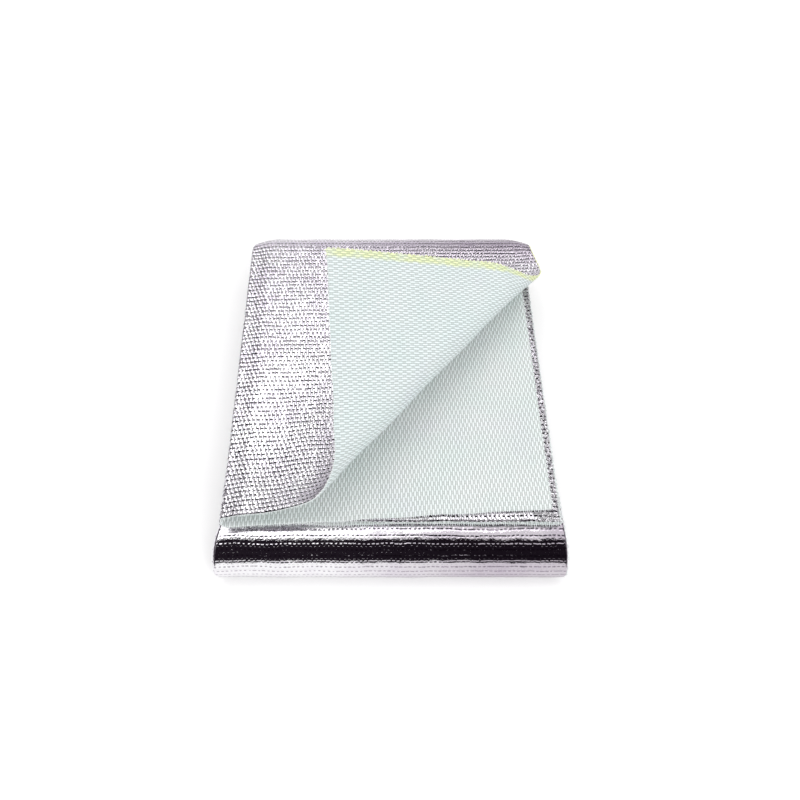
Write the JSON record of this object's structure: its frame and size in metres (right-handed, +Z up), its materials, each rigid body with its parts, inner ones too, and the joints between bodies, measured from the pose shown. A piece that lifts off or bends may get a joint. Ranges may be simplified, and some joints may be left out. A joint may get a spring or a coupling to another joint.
{
  "type": "heat shield mat",
  "caption": "Folded mat of white woven glass cloth with a bright aluminium face, one corner turned back, to wrap or screen hot engine and exhaust parts.",
  "frame": {"origin": "middle of the folded stack's plan, on the floor it lies on", "axes": "+Z up, +Y towards the rounded back fold, the loose front edge and the front fold towards -Y, the lengthwise fold on the -X side"},
  "size_m": [0.2594, 0.2968, 0.1476],
  "materials": {
    "glass_cloth": "woven, aluminium face on one side"
  },
  "bodies": {
    "root": {"mat_sheet": "glass_cloth"}
  },
  "joints": []
}
